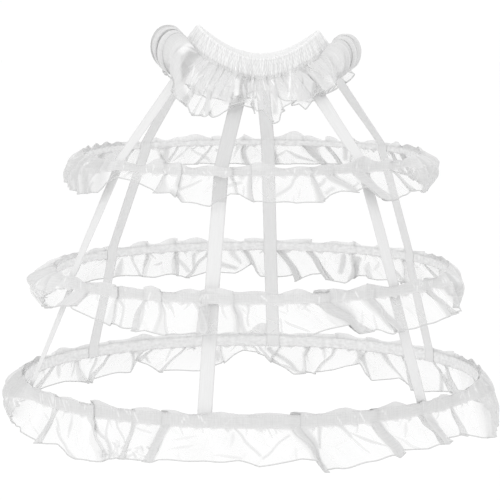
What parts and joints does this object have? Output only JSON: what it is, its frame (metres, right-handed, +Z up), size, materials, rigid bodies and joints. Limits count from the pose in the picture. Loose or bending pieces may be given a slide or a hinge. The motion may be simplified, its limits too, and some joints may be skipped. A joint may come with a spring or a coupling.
{
  "type": "crinoline cage",
  "caption": "Crinoline cage: hoops that widen towards the hem hang on ribbon tapes from a shirred elastic waistband, each with a gathered sheer ruffle, to hold a skirt out.",
  "frame": {"origin": "centre of the waist opening, level with the dips of its rim at front and back", "axes": "+Z up through the waist opening, front of the cage towards -Y, +X to its right in the picture"},
  "size_m": [0.849, 0.849, 0.6845],
  "materials": {
    "satin_ribbon": "satin woven ribbon",
    "casing_ribbon": "satin woven ribbon",
    "organza": "sheer crisp organza",
    "shirred_organza": "shirred organza, many layers",
    "elastic": "woven elastic",
    "bone_cover": "smooth plastic cover",
    "joiner_metal": "plain drawn sleeve"
  },
  "bodies": {
    "root": {"waistband_casing": "shirred_organza", "waist_elastic": "elastic", "waist_ruffle": "organza", "front_tape": "satin_ribbon", "front_right_tape": "satin_ribbon", "back_right_tape": "satin_ribbon", "back_tape": "satin_ribbon", "back_left_tape": "satin_ribbon", "front_left_tape": "satin_ribbon", "top_bone": "bone_cover", "top_joiner": "joiner_metal", "top_casing": "casing_ribbon", "top_ruffle": "organza", "middle_bone": "bone_cover", "middle_joiner": "joiner_metal", "middle_casing": "casing_ribbon", "middle_ruffle": "organza", "bottom_bone": "bone_cover", "bottom_joiner": "joiner_metal", "bottom_casing": "casing_ribbon", "bottom_ruffle": "organza"}
  },
  "joints": []
}
